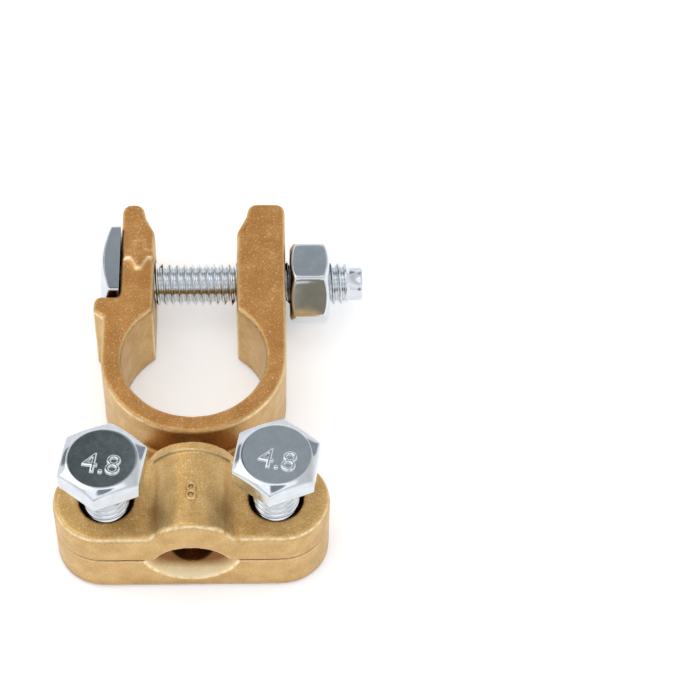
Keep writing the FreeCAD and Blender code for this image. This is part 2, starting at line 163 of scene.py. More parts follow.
def through_ramp(tree, factor, stops):
    """A colour that goes through the (place, colour) stops as the factor grows."""
    node = add_node(tree, "ShaderNodeValToRGB", {"Fac": factor})
    elements = node.color_ramp.elements
    while len(elements) < len(stops):
        elements.new(0.5)
    for element, (place, colour) in zip(elements, stops):
        element.position = place
        element.color = colour
    return node.outputs["Color"]

# %% [markdown]
# ## Cast brass: the skin
#
# The casting and the cap are sand-cast brass, tumbled clean and left bare. Tumbling leaves a
# satin skin: the metal's own colour, no mirror image, a fine speckle where the grains of sand
# were, and a slow unevenness. Photographs of cast metal wrapped round the parts would stretch
# over the walls, so two noises in the object's own space draw both on every side alike.

# %% Skin of the brass
# Casting sand is finer than this, which is as fine as the picture can show
GRAIN_WIDTH = 0.2
WAVE_WIDTH = 2.2
GRAIN_STOPS = [(0.34, linear("E6B774")), (0.50, linear("F9CE8B")), (0.66, linear("FCE0A6"))]
WAVE_STOPS = [(0.35, linear("ECE6DE")), (0.65, linear("FFFFFF"))]


def brass_skin(tree, place):
    """The noise of the grains, the noise of the waves, and the colour of both together."""
    grain = add_node(tree, "ShaderNodeTexNoise", {
        "Vector": place, "Scale": 1 / (GRAIN_WIDTH * MM), "Detail": 3.0, "Roughness": 0.6})
    wave = add_node(tree, "ShaderNodeTexNoise", {
        "Vector": place, "Scale": 1 / (WAVE_WIDTH * MM), "Detail": 4.0, "Roughness": 0.55})
    speckle = through_ramp(tree, grain.outputs["Fac"], GRAIN_STOPS)
    broad = through_ramp(tree, wave.outputs["Fac"], WAVE_STOPS)
    skin = add_node(tree, "ShaderNodeMix", {SHARE: 1.0, UNDER: speckle, OVER: broad},
                    data_type="RGBA", blend_type="MULTIPLY")
    return grain.outputs["Fac"], wave.outputs["Fac"], skin.outputs[MIXED]

# %% [markdown]
# ## Cast brass: the level tops
#
# The level tops and the walls get painted light and shade: the way that the surface faces tells a
# top from a wall, and the tops get a deeper gold than the walls. The tops also get bright specks
# and thin scuffs, which stand for the marks of knocking against other parts in the tumbler,
# painted as bright glints. A speck is a peak of a fine noise. A scuff is the thin line where a
# slow noise passes its middle, kept only where the waves are high, so that it comes and goes.

# %% Tops of the brass
TOP_FROM = 0.80
TOP_TO = 0.97
# Painted light and shade: what the skin is multiplied by on the walls and on the level tops
WALL_SHADING_TONE = linear("DEE1E5")
CLAMP_TOP_SHADING_TONE = linear("DAC0A8")
CAP_TOP_SHADING_TONE = linear("F1EFE6")
# Bright cream of the painted highlights on the edges and of the painted glints on the tops
BRASS_HIGHLIGHT = linear("FFEBC0")
SPECK_WIDTH = 0.3
SPECK_FROM = 0.60
SPECK_TO = 0.68
SPECK_SHARE = 0.6
SCUFF_WIDTH = 2.6
SCUFF_HALF_BAND = 0.012
SCUFF_SHARE = 0.5
SCUFFED_FROM = 0.52
SCUFFED_TO = 0.60


def facing_shaded_tops(tree, skin, top_shading_tone):
    """How level the surface is, and the skin with painted light and shade: one tone for its walls
    and one for its tops.
    """
    facing = add_node(tree, "ShaderNodeSeparateXYZ", {
        "Vector": add_node(tree, "ShaderNodeNewGeometry").outputs["Normal"]})
    level = add_node(tree, "ShaderNodeMapRange", {
        "Value": facing.outputs["Z"], "From Min": TOP_FROM, "From Max": TOP_TO})
    # Painted light and shade, by the way that the surface faces
    tone = add_node(tree, "ShaderNodeMix", {
        SHARE: level.outputs["Result"], UNDER: WALL_SHADING_TONE, OVER: top_shading_tone}, data_type="RGBA")
    facing_shaded = add_node(tree, "ShaderNodeMix", {
        SHARE: 1.0, UNDER: skin, OVER: tone.outputs[MIXED]},
        data_type="RGBA", blend_type="MULTIPLY")
    return level.outputs["Result"], facing_shaded.outputs[MIXED]


def glinted_tops(tree, place, wave, level, colour):
    """The colour with painted glints on the level tops: specks and scuffs, wear from knocking
    painted bright.
    """
    speck_noise = add_node(tree, "ShaderNodeTexNoise", {
        "Vector": place, "Scale": 1 / (SPECK_WIDTH * MM), "Detail": 2.0, "Roughness": 0.6})
    specks = add_node(tree, "ShaderNodeMapRange", {
        "Value": speck_noise.outputs["Fac"], "From Min": SPECK_FROM, "From Max": SPECK_TO,
        "To Max": SPECK_SHARE})
    scuff_noise = add_node(tree, "ShaderNodeTexNoise", {
        "Vector": place, "Scale": 1 / (SCUFF_WIDTH * MM), "Detail": 2.0, "Distortion": 1.5})
    from_line = add_node(tree, "ShaderNodeMath", {
        0: scuff_noise.outputs["Fac"], 1: 0.5}, operation="SUBTRACT")
    off_line = add_node(tree, "ShaderNodeMath", {0: from_line.outputs[0]}, operation="ABSOLUTE")
    line = add_node(tree, "ShaderNodeMapRange", {
        "Value": off_line.outputs[0], "From Max": SCUFF_HALF_BAND,
        "To Min": SCUFF_SHARE, "To Max": 0.0})
    scuffed = add_node(tree, "ShaderNodeMapRange", {
        "Value": wave, "From Min": SCUFFED_FROM, "From Max": SCUFFED_TO})
    scuffs = add_node(tree, "ShaderNodeMath", {
        0: line.outputs["Result"], 1: scuffed.outputs["Result"]}, operation="MULTIPLY")
    # Painted glints: specks and scuffs turn bright cream, on the level tops only
    glints = add_node(tree, "ShaderNodeMath", {
        0: specks.outputs["Result"], 1: scuffs.outputs[0]}, operation="MAXIMUM")
    on_tops = add_node(tree, "ShaderNodeMath", {
        0: glints.outputs[0], 1: level}, operation="MULTIPLY")
    glinted = add_node(tree, "ShaderNodeMix", {
        SHARE: on_tops.outputs[0], UNDER: colour, OVER: BRASS_HIGHLIGHT}, data_type="RGBA")
    return glinted.outputs[MIXED]

# %% [markdown]
# ## Cast brass: mouth, edges and hollows
#
# The flared mouth, where the cable goes in, has painted light on its pale flare, round a throat in
# painted shade, a brown, under the cap's overhang. Edges get painted highlights, brighter than the
# faces, with breaks. A noise can't know where these are, so each point of the mesh carries three
# values, named flared, throat and highlit, and the castings get them further down. Hollows get
# painted shade in the same brown, and Ambient Occlusion, which looks round from each point for
# what is near, finds them without any value.

# %% Mouth, edges and hollows of the brass
# Painted light on the flare of the mouth
BRASS_MOUTH_LIGHT = linear("FFF3D0")
# Painted shade, a brown, in the mouth's throat and in the hollows
BRASS_SHADE = linear("6E3A1E")
FLARE_SHARE = 0.65
THROAT_SHARE = 0.8
EDGE_BREAK_WIDTH = 0.9
EDGE_BREAK_FROM = 0.30
EDGE_BREAK_TO = 0.55
EDGE_LEAST = 0.25
HOLLOW_REACH = 3.2
HOLLOW_TO = 0.15
OPEN_FROM = 0.8


def marked_mouth(tree, colour):
    """The colour with painted light on the pale flare of the mouth, and painted shade in its brown
    throat.
    """
    flare = add_node(tree, "ShaderNodeMapRange", {
        "Value": add_node(tree, "ShaderNodeAttribute", attribute_name="flared").outputs["Fac"],
        "To Max": FLARE_SHARE})
    # Painted light: the flare turns pale
    sheened = add_node(tree, "ShaderNodeMix", {
        SHARE: flare.outputs["Result"], UNDER: colour, OVER: BRASS_MOUTH_LIGHT}, data_type="RGBA")
    throat = add_node(tree, "ShaderNodeMapRange", {
        "Value": add_node(tree, "ShaderNodeAttribute", attribute_name="throat").outputs["Fac"],
        "To Max": THROAT_SHARE})
    # Painted shade: the throat turns brown
    throated = add_node(tree, "ShaderNodeMix", {
        SHARE: throat.outputs["Result"], UNDER: sheened.outputs[MIXED], OVER: BRASS_SHADE},
        data_type="RGBA")
    return throated.outputs[MIXED]


def highlit_edges(tree, place, colour):
    """The colour with painted highlights on the edges, broken by a noise."""
    edge_break = add_node(tree, "ShaderNodeTexNoise", {
        "Vector": place, "Scale": 1 / (EDGE_BREAK_WIDTH * MM), "Detail": 3.0})
    unbroken = add_node(tree, "ShaderNodeMapRange", {
        "Value": edge_break.outputs["Fac"], "From Min": EDGE_BREAK_FROM, "From Max": EDGE_BREAK_TO,
        "To Min": EDGE_LEAST, "To Max": 1.0})
    edge = add_node(tree, "ShaderNodeMath", {
        0: add_node(tree, "ShaderNodeAttribute", attribute_name="highlit").outputs["Fac"],
        1: unbroken.outputs["Result"]}, operation="MULTIPLY")
    # Painted highlight: the edges turn bright cream
    highlit = add_node(tree, "ShaderNodeMix", {
        SHARE: edge.outputs[0], UNDER: colour, OVER: BRASS_HIGHLIGHT}, data_type="RGBA")
    return highlit.outputs[MIXED]


def shade_hollows(tree, colour):
    """The colour with painted shade, a brown, in the hollows."""
    # Painted shade: the less open a point is, the more brown it gets
    around = add_node(tree, "ShaderNodeAmbientOcclusion", {
        "Distance": HOLLOW_REACH * MM}, samples=8)
    open_share = add_node(tree, "ShaderNodeMapRange", {
        "Value": around.outputs["AO"], "From Min": HOLLOW_TO, "From Max": OPEN_FROM})
    whole = add_node(tree, "ShaderNodeMix", {
        SHARE: open_share.outputs["Result"], UNDER: BRASS_SHADE, OVER: colour}, data_type="RGBA")
    return whole.outputs[MIXED]

# %% [markdown]
# ## Cast brass: the whole
#
# A metal takes its look from its colour and its roughness alone, and its IOR stays as Blender
# gives it. Satin brass lies between a mirror and a matt surface, and its grains vary that.
# Two bumps follow the same noises as the colour: the grains stand a few hundredths of a millimetre
# high, and the waves a little more. The clamp and the cap get different painted light and shade on
# their level tops, so each casting has a material of its own.

# %% Brass
BRASS_ROUGHNESS = (0.36, 0.52)
GRAIN_HEIGHT = 0.05
GRAIN_BUMP = 0.35
WAVE_HEIGHT = 0.15
WAVE_BUMP = 0.4


def sand_cast_brass(name, top_shading_tone):
    material, tree, output = empty_material(name)
    place = add_node(tree, "ShaderNodeTexCoord").outputs["Object"]
    grain, wave, colour = brass_skin(tree, place)
    level, colour = facing_shaded_tops(tree, colour, top_shading_tone)
    colour = glinted_tops(tree, place, wave, level, colour)
    colour = marked_mouth(tree, colour)
    colour = highlit_edges(tree, place, colour)
    colour = shade_hollows(tree, colour)
    roughness = add_node(tree, "ShaderNodeMapRange", {
        "Value": grain, "From Min": NOISE_LOW, "From Max": NOISE_HIGH,
        "To Min": BRASS_ROUGHNESS[0], "To Max": BRASS_ROUGHNESS[1]})
    fine = add_node(tree, "ShaderNodeBump", {
        "Height": grain, "Strength": GRAIN_BUMP, "Distance": GRAIN_HEIGHT * MM})
    slow = add_node(tree, "ShaderNodeBump", {
        "Height": wave, "Strength": WAVE_BUMP, "Distance": WAVE_HEIGHT * MM,
        "Normal": fine.outputs["Normal"]})
    shader = add_node(tree, "ShaderNodeBsdfPrincipled", {
        "Base Color": colour, "Metallic": 1.0,
        "Roughness": roughness.outputs["Result"], "Normal": slow.outputs["Normal"]})
    tree.links.new(shader.outputs["BSDF"], output.inputs["Surface"])
    return material


clamp_brass = sand_cast_brass("sand_cast_brass_of_the_clamp", CLAMP_TOP_SHADING_TONE)
cap_brass = sand_cast_brass("sand_cast_brass_of_the_cap", CAP_TOP_SHADING_TONE)
print("made", clamp_brass.name, "and", cap_brass.name)

# %% [markdown]
# ## Zinc plate
#
# The bolts and the nut are steel, headed cold and rolled, then plated with zinc and cleared
# to a bright bluish finish. It is nearly a mirror, with faint clouds from the plating bath
# a millimetre or two wide. One noise gives them to the colour, the roughness and the bump
# together, because on the real thing they are one and the same unevenness of the plating.

# %% Zinc
CLOUD_WIDTH = 1.4
CLOUD_STOPS = [(0.35, linear("D1D6DB")), (0.65, linear("DCE1E5"))]
ZINC_ROUGHNESS = (0.08, 0.12)
CLOUD_HEIGHT = 0.02
CLOUD_BUMP = 0.06


def bright_zinc_plate():
    material, tree, output = empty_material("bright_zinc_plate")
    place = add_node(tree, "ShaderNodeTexCoord").outputs["Object"]
    cloud = add_node(tree, "ShaderNodeTexNoise", {
        "Vector": place, "Scale": 1 / (CLOUD_WIDTH * MM), "Detail": 5.0, "Roughness": 0.6})
    roughness = add_node(tree, "ShaderNodeMapRange", {
        "Value": cloud.outputs["Fac"], "From Min": NOISE_LOW, "From Max": NOISE_HIGH,
        "To Min": ZINC_ROUGHNESS[0], "To Max": ZINC_ROUGHNESS[1]})
    bump = add_node(tree, "ShaderNodeBump", {
        "Height": cloud.outputs["Fac"], "Strength": CLOUD_BUMP, "Distance": CLOUD_HEIGHT * MM})
    shader = add_node(tree, "ShaderNodeBsdfPrincipled", {
        "Base Color": through_ramp(tree, cloud.outputs["Fac"], CLOUD_STOPS), "Metallic": 1.0,
        "Roughness": roughness.outputs["Result"], "Normal": bump.outputs["Normal"]})
    tree.links.new(shader.outputs["BSDF"], output.inputs["Surface"])
    return material


zinc = bright_zinc_plate()
print("made", zinc.name)

# %% [markdown]
# ## Columns about an axis
#
# A bolt's head is a prism under a cone, and both are easy to say in polar form: seen at one
# angle about the axis, the head is a few straight lines. So a fastener is built of columns.
# Each column is its section at one angle, a list of (radius, height) points, and neighbours
# are joined by faces. The columns stand closer beside a corner, where the radius changes fast.

# %% Columns
COLUMN_STEP = 5
# Degrees from a corner at which a column stands on either side of it
BESIDE_CORNER = (1.0, 2.2)


def column_angles(corners):
    """Angles in degrees about the axis: even steps, and closer beside each corner."""
    clear = max(BESIDE_CORNER)
    angles = [a for a in range(0, 360, COLUMN_STEP) if all(abs(a - c) > clear for c in corners)]
    for corner in corners:
        angles += [corner] + [corner + side * step for step in BESIDE_CORNER for side in (-1, 1)]
    return sorted(angles)


def outward(angle):
    """The way out from the axis at an angle in degrees."""
    return Vector((math.cos(math.radians(angle)), math.sin(math.radians(angle)), 0))


def add_columns(bm, angles, section):
    """Adds the surface whose section at each angle is a list of (radius, height) points."""
    columns = []
    for angle in angles:
        columns.append([
            bm.verts.new(outward(angle) * r + Vector((0, 0, h))) for r, h in section(angle)])
    for left, right in zip(columns, columns[1:] + columns[:1]):
        for row in range(len(left) - 1):
            bm.faces.new((left[row], right[row], right[row + 1], left[row + 1]))

# %% [markdown]
# ## Prisms with soft edges
#
# A pressed head has no razor edge. A Bevel modifier could round all its edges alike, but an
# upright edge and the rim of a chamfer differ. So the upright edges are softened by the way
# the radius is worked out, a norm with a high power that falls just short of the true corner,
# and the level edges get a small curve at each corner of the section.

# %% Prisms
CORNER_SHARPNESS = 110
ROUND_STEPS = 4
# A round takes at most this share of the lines beside it
ROUND_SHARE = 0.45
# A line of points this far inside a flat's edge keeps the shading of the flat even
FLAT_MARGIN = 0.5


def prism_radius(angle, half_widths, sharpness=CORNER_SHARPNESS):
    """Distance from the axis to the side of a prism, given the half width towards each flat."""
    flats = len(half_widths)
    total = 0.0
    for index, half in enumerate(half_widths):
        toward = math.cos(math.radians(angle - 360 * index / flats))
        if toward > 0:
            total += (toward / half) ** sharpness
    return total ** (-1 / sharpness)


def softened(corners, radius):
    """The corners of a section, with a curve in place of each inner one."""
    points = [corners[0]]
    for before, corner, after in zip(corners, corners[1:], corners[2:]):
        before, corner, after = Vector(before), Vector(corner), Vector(after)
        reach = min(radius, ROUND_SHARE * (corner - before).length,
                    ROUND_SHARE * (after - corner).length)
        start = corner + (before - corner).normalized() * reach
        end = corner + (after - corner).normalized() * reach
        for step in range(ROUND_STEPS + 1):
            share = step / ROUND_STEPS
            points.append(tuple(start.lerp(corner, share).lerp(corner.lerp(end, share), share)))
    points.append(corners[-1])
    return points

# %% [markdown]
# ## Threads
#
# All the fasteners are M6, with a crest every millimetre. A stack of rings would look much
# the same from the side, but a real thread climbs. So it is a strip wound as a helix: each
# row of points climbs one pitch a turn. Rows past an end are pressed flat against it, inside a
# cone, and later merged away. The rows of the last column meet the rows one pitch further in
# the first column.

# %% Threads
PITCH = 1.0
CREST = 2.95
ROOT = 2.34
THREAD_END = 2.3
# Rows of one pitch: how far along it, and how deep below the crest as a share
THREAD_ROWS = [
    (0, 0.06), (0.07, 0), (0.14, 0.06), (0.28, 0.5), (0.42, 0.94), (0.5, 1), (0.58, 0.94),
    (0.79, 0.5)]


def add_thread(bm, angles, low, high, radius_at):
    """Adds a helical strip between two heights. radius_at gives its radius at a row's depth."""
    turns = range(math.floor(low / PITCH) - 2, math.ceil(high / PITCH) + 2)
    columns = []
    for angle in angles:
        column = []
        for turn in turns:
            for along, depth in THREAD_ROWS:
                height = min(max((turn + along + angle / 360) * PITCH, low), high)
                column.append(bm.verts.new(
                    outward(angle) * radius_at(depth, height) + Vector((0, 0, height))))
        columns.append(column)
    columns.append(columns[0][len(THREAD_ROWS):])
    for left, right in zip(columns, columns[1:]):
        for row in range(len(right) - 1):
            bm.faces.new((left[row], right[row], right[row + 1], left[row + 1]))


def outer_thread(low, high):
    """Gives the function for the radius of a bolt's thread, with a cone at both ends."""
    def radius_at(depth, height):
        full = CREST - (CREST - ROOT) * depth
        return min(full, THREAD_END + height - low, THREAD_END + high - height)
    return radius_at

# %% [markdown]
# ## From a mesh to a piece
#
# The columns and the thread share their end points, so merging by distance welds them into
# one closed skin. Then the mesh is scaled, turned and moved to its place. Smooth shading alone
# would make the large flats look swollen, so a Weighted Normal modifier gives them their say
# and lets the small curves carry the change.

# %% Finished fastener
WELD_DISTANCE = 0.001


def finished_piece(bm, name, turn, place, material):
    """Turns a mesh drawn in millimetres about its own axis into a piece in its real place."""
    bmesh.ops.remove_doubles(bm, verts=bm.verts, dist=WELD_DISTANCE)
    bmesh.ops.recalc_face_normals(bm, faces=bm.faces)
    open_edges = sum(1 for edge in bm.edges if len(edge.link_faces) != 2)
    to_place = Matrix.Scale(MM, 4) @ Matrix.Translation(place) @ turn.to_4x4()
    bmesh.ops.transform(bm, matrix=to_place, verts=bm.verts)
    mesh = bpy.data.meshes.new(name)
    bm.to_mesh(mesh)
    bm.free()
    mesh.materials.append(material)
    mesh.shade_smooth()
    piece = bpy.data.objects.new(name, mesh)
    bpy.context.scene.collection.objects.link(piece)
    piece.modifiers.new("flat_faces", "WEIGHTED_NORMAL")
    print(name, "has", len(mesh.polygons), "faces and", open_edges, "open edges")
    return piece

# %% [markdown]
# ## The clamp bolt
#
# The bolt across the ears has a pressed square head with a chamfered face, and a thread up to
# a smooth dog point, which starts the nut straight. It is drawn standing, with its heights
# measured along the frame's X axis. A quarter turn about Y then lays it down, and the thread
# keeps its place along X.

# %% Clamp bolt
SQUARE_FACE_RADIUS = 5.2
SQUARE_SLOPE = 0.43
HEAD_ROUND = 0.35
CRISP_EDGE = 0.12
DOG_RADIUS = 2.3
DOG_LENGTH = 1.8
HEAD_THICKNESS = 2.6
LAID_DOWN = Matrix.Rotation(math.radians(90), 3, "Y")

bolt_low, bolt_high = corners_of("clamp_bolt")
clamp_axis = (0, (bolt_low.y + bolt_high.y) / 2, (bolt_low.z + bolt_high.z) / 2)
square_halves = [(bolt_high.z - bolt_low.z) / 2, (bolt_high.y - bolt_low.y) / 2] * 2
square_corner = math.degrees(math.atan2(square_halves[1], square_halves[0]))
square_angles = column_angles([
    square_corner, 180 - square_corner, 180 + square_corner, 360 - square_corner])


def square_head_section(angle):
    face, under = bolt_low.x, bolt_low.x + HEAD_THICKNESS
    side = prism_radius(angle, square_halves)
    shoulder = face + SQUARE_SLOPE * (side - SQUARE_FACE_RADIUS)
    return softened([
        (0, face), (SQUARE_FACE_RADIUS - FLAT_MARGIN, face), (SQUARE_FACE_RADIUS, face),
        (side, shoulder), (side, shoulder + FLAT_MARGIN), (side, under - CRISP_EDGE),
        (side, under), (side - CRISP_EDGE, under), (THREAD_END, under)], HEAD_ROUND)


def dog_section(angle):
    shoulder = bolt_high.x - DOG_LENGTH
    return softened([
        (THREAD_END, shoulder), (DOG_RADIUS, bolt_high.x), (0, bolt_high.x)], HEAD_ROUND)


def make_clamp_bolt():
    bm = bmesh.new()
    add_columns(bm, square_angles, square_head_section)
    low, high = bolt_low.x + HEAD_THICKNESS, bolt_high.x - DOG_LENGTH
    add_thread(bm, square_angles, low, high, outer_thread(low, high))
    add_columns(bm, square_angles, dog_section)
    bolt = finished_piece(
        bm, "square_headed_bolt", LAID_DOWN, clamp_axis, zinc)
    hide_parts("clamp_bolt")
    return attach(bolt, "clamp_bolt")


clamp_bolt = make_clamp_bolt()

# %% [markdown]
# ## The nut
#
# A hexagon nut with both faces chamfered, and with softer corners than the heads have. A plain
# hole would do while the nut is on its bolt, but the nut can be turned off and looked into. So
# it has a thread of its own, which follows the bolt's helix with a little room, and nut and
# bolt stay in mesh when the nut turns and the bolt slides a pitch a turn. At both faces the
# thread opens into a cone, as a countersunk hole does.

# %% Nut
NUT_SHARPNESS = 32
NUT_FACE_RADIUS = 4.75
NUT_SLOPE = 0.6
NUT_ROUND = 0.55
NUT_CREST = 2.52
NUT_ROOT = 3.04
NUT_MOUTH = 3.4
HEX_CORNERS = [30, 90, 150, 210, 270, 330]

nut_low, nut_high = corners_of("clamp_nut")
nut_halves = [(nut_high.z - nut_low.z) / 2] * 6
hex_angles = column_angles(HEX_CORNERS)


def nut_section(angle):
    side = prism_radius(angle, nut_halves, NUT_SHARPNESS)
    drop = NUT_SLOPE * (side - NUT_FACE_RADIUS)
    return softened([
        (NUT_MOUTH, nut_low.x), (NUT_FACE_RADIUS, nut_low.x), (side, nut_low.x + drop),
        (side, nut_low.x + drop + FLAT_MARGIN), (side, nut_high.x - drop - FLAT_MARGIN),
        (side, nut_high.x - drop), (NUT_FACE_RADIUS, nut_high.x),
        (NUT_MOUTH, nut_high.x)], NUT_ROUND)


def nut_thread_radius(depth, height):
    full = NUT_ROOT - (NUT_ROOT - NUT_CREST) * depth
    return max(full, NUT_MOUTH - (height - nut_low.x), NUT_MOUTH - (nut_high.x - height))


def make_nut():
    bm = bmesh.new()
    add_columns(bm, hex_angles, nut_section)
    add_thread(bm, hex_angles, nut_low.x, nut_high.x, nut_thread_radius)
    nut = finished_piece(bm, "hexagon_nut", LAID_DOWN, clamp_axis, zinc)
    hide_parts("clamp_nut")
    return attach(nut, "clamp_nut")


clamp_nut = make_nut()

# %% [markdown]
# ## Raised figures
#
# Figures on a pressed or cast part stand up from it, because they are cut into the die or the
# mould, and their strokes are domed. A bump in the material would stay flat from the side. A
# text curve has real height, and a round bevel nearly as wide as the stroke domes it. The
# figures stand a quarter of a millimetre high, and their lower half is sunk in the part.

# %% Raised figures
MARK_RISE = 0.25
MARK_DOME = 0.2
MARK_DOME_STEPS = 3
MARK_BOLDER = 0.08


def raised_mark(text, height, centre, lean, stretch=1.0):
    """A mesh of raised characters, in metres, whose lower half is sunk in what bears it."""
    curve = bpy.data.curves.new("mark", "FONT")
    curve.body = text
    curve.size = height * MM
    curve.align_x = "CENTER"
    curve.align_y = "CENTER"
    curve.extrude = (MARK_RISE - MARK_DOME) * MM
    curve.bevel_depth = MARK_DOME * MM
    curve.bevel_resolution = MARK_DOME_STEPS
    curve.offset = (MARK_BOLDER - MARK_DOME) * MM
    holder = bpy.data.objects.new("mark", curve)
    bpy.context.scene.collection.objects.link(holder)
    bpy.context.view_layer.update()
    finished = holder.evaluated_get(bpy.context.evaluated_depsgraph_get())
    mesh = bpy.data.meshes.new_from_object(finished)
    lows, highs = (
        [pick(v.co[i] for v in mesh.vertices) for i in range(3)] for pick in (min, max))
    middle = (Vector(lows) + Vector(highs)) / 2
    spin = Matrix.Rotation(math.radians(lean), 4, "Z") @ Matrix.Diagonal((stretch, 1, 1, 1))
    lift = Vector(centre) * MM
    mesh.transform(Matrix.Translation(lift) @ spin @ Matrix.Translation(-middle))
    bpy.data.objects.remove(holder)
    return mesh


def join_marks(mesh, marks):
    """Adds the meshes of raised marks to a mesh."""
    joined = bmesh.new()
    joined.from_mesh(mesh)
    for mark in marks:
        joined.from_mesh(mark)
    joined.to_mesh(mesh)
    joined.free()

# %% [markdown]
# ## The cable bolts
#
# Two hexagon bolts press the cap on the cable. Their heads carry the strength class 4.8 in
# raised figures, as such heads do: a plain number for a soft steel bolt. Both bolts could be
# one mesh used twice, but the figures lean a little differently on each head, so one function
# makes two of its own.

# %% Cable bolts
HEX_WIDTH = 10.3
HEX_FACE_RADIUS = 4.4
HEX_SLOPE = 0.43
HEX_THICKNESS = 3.0
HEX_TURN = -9
CLASS_FIGURES = "4.8"
CLASS_HEIGHT = 3.95
# Middle of the figures on each head, and how far they lean, in degrees
LEFT_FIGURES = ((-10.75, -22.5), -8)
RIGHT_FIGURES = ((10.85, -22.5), -12)


def make_cable_bolt(node, mark_centre, mark_lean):
    low, high = corners_of(node)
    under = high.z - HEX_THICKNESS
    axis = ((low.x + high.x) / 2, (low.y + high.y) / 2, 0)
    halves = [HEX_WIDTH / 2] * 6

    def head_section(angle):
        side = prism_radius(angle, halves)
        shoulder = high.z - HEX_SLOPE * (side - HEX_FACE_RADIUS)
        return softened([
            (THREAD_END, under), (side, under), (side, under + FLAT_MARGIN), (side, shoulder),
            (HEX_FACE_RADIUS, high.z), (HEX_FACE_RADIUS - FLAT_MARGIN, high.z),
            (0, high.z)], HEAD_ROUND)

    def tip_section(angle):
        return [(0, low.z), (THREAD_END, low.z)]

    bm = bmesh.new()
    add_columns(bm, hex_angles, tip_section)
    add_thread(bm, hex_angles, low.z, under, outer_thread(low.z, under))
    add_columns(bm, hex_angles, head_section)
    turned = Matrix.Rotation(math.radians(HEX_TURN), 3, "Z")
    bolt = finished_piece(bm, f"{node}_steel", turned, axis, zinc)
    join_marks(bolt.data, [
        raised_mark(CLASS_FIGURES, CLASS_HEIGHT, (*mark_centre, high.z), mark_lean)])
    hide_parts(node)
    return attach(bolt, node)


left_bolt = make_cable_bolt("left_cable_bolt", *LEFT_FIGURES)
right_bolt = make_cable_bolt("right_cable_bolt", *RIGHT_FIGURES)

# %% [markdown]
# ## The castings: places
#
# The next steps need a few places on the castings. The seam between clamp and cap lies at the
# cap's underside, and shows only on the cable's side of the ring. The mouth is a bowl that both
# plates share, cut in from their front, widest at the seam. Its throat is where the bowl
# narrows to the cable's channel.

# %% Places on the castings
casting_low, casting_high = corners_of("clamp_body")
cap_low, cap_high = corners_of("cable_cap")
SEAM_HEIGHT = cap_low.z
SEAM_REACH = 0.2
SEAM_BEFORE = -15.0
HUMP_TOP = 14.25
FLARE_HALF_WIDTH = 6.05
FLARE_DROP = 4.35
# The bowl starts behind the rim of its front edge, which has a painted highlight, and goes this
# far in
FLARE_RIM = 0.12
FLARE_DEPTH = 3.6
FLARE_FRONT = casting_low.y + FLARE_RIM
FLARE_BACK = casting_low.y + FLARE_DEPTH
THROAT_HALF_WIDTH = 5.6
THROAT_DROP = 3.55
print("the seam is", round(SEAM_HEIGHT, 3), "mm up, and the hump's top", HUMP_TOP, "mm")

# %% [markdown]
# ## The castings: which edges get painted highlights
#
# The brass needs to know where its edges are, to paint highlights on them. The soft skin of a
# casting has lost them, and Blender's Pointiness takes the odd long face for an edge. The solid
# still has them, so its convex edges become a cloud of points. An edge that faces the cable's
# side, towards the camera, gets the most painted highlight, and the seam between the two castings
# least. Where the solid has a tight round in place of an edge, only the middle of that round
# counts.

# %% Edges with painted highlights
# An edge turns by at least this many degrees, and a wall leans less than this
EDGE_TURN = 20
WALL_LEAN = 0.35
# The middle of a tight round faces up this much, and its faces turn and curve at least so
ROUND_MIDDLE = (0.60, 0.80)
ROUND_TURN = 6
ROUND_CURVE = 1.0
# Share of an edge and of a round whose wall faces sideways, and how much its facing matters
EDGE_SHARE = 0.12
ROUND_EDGE_SHARE = 0.3
FACING_GAIN = 0.9
LEAST_SHARE = 0.05
SEAM_SHARE = 0.4
EDGE_STEP = 0.12


def facing_share(sideways, wall):
    """The share of an edge, given what it is for a wall that faces sideways."""
    # Walls that face the cable's side, towards the camera, get more painted highlight
    return min(1.0, max(LEAST_SHARE, sideways - FACING_GAIN * wall.y))


def highlit_share(edge):
    """How much painted highlight an edge of the solid gets: 0 if it isn't a convex edge beside a
    wall.
    """
    if len(edge.link_faces) != 2:
        return 0.0
    turn = edge.calc_face_angle_signed()
    wall = min(edge.link_faces, key=lambda face: abs(face.normal.z)).normal
    middle = (edge.verts[0].co + edge.verts[1].co) / 2
    if math.degrees(turn) > EDGE_TURN:
        if abs(wall.z) > WALL_LEAN:
            return 0.0
        share = facing_share(EDGE_SHARE, wall)
    else:
        width = min(face.calc_area() for face in edge.link_faces) / edge.calc_length() / MM
        lean = sum(face.normal.z for face in edge.link_faces) / 2
        tight = math.degrees(turn) > ROUND_TURN and turn / width > ROUND_CURVE
        if not tight or not ROUND_MIDDLE[0] < lean < ROUND_MIDDLE[1]:
            return 0.0
        share = facing_share(ROUND_EDGE_SHARE, wall)
    at_seam = abs(middle.z - SEAM_HEIGHT * MM) < SEAM_REACH * MM
    return share * (SEAM_SHARE if at_seam and middle.y < SEAM_BEFORE * MM else 1.0)


def points_on_edges(bm):
    """Points, close together, on all the edges with painted highlights, each with its share."""
    points = []
    for edge in bm.edges:
        share = highlit_share(edge)
        if share > 0:
            start, end = (v.co.copy() for v in edge.verts)
            steps = max(1, round((end - start).length / (EDGE_STEP * MM)))
            points += [(start.lerp(end, (step + 0.5) / steps), share) for step in range(steps)]
    return points

# %% [markdown]
# ## The castings: values for the brass
#
# Each point of a skin now gets the three values that the brass reads. One comes from its
# distance to the nearest point of an edge. A plain search would compare each of eighty
# thousand points with thousands of others, so a KD-tree sorts them in space first. The other
# two come from where the point lies in the bowl of the mouth.

# %% Values for the brass
# The painted highlight of an edge reaches this far, in voxels of the skin that shows it
EDGE_REACH = 1.15
EDGE_GAIN = 1.3
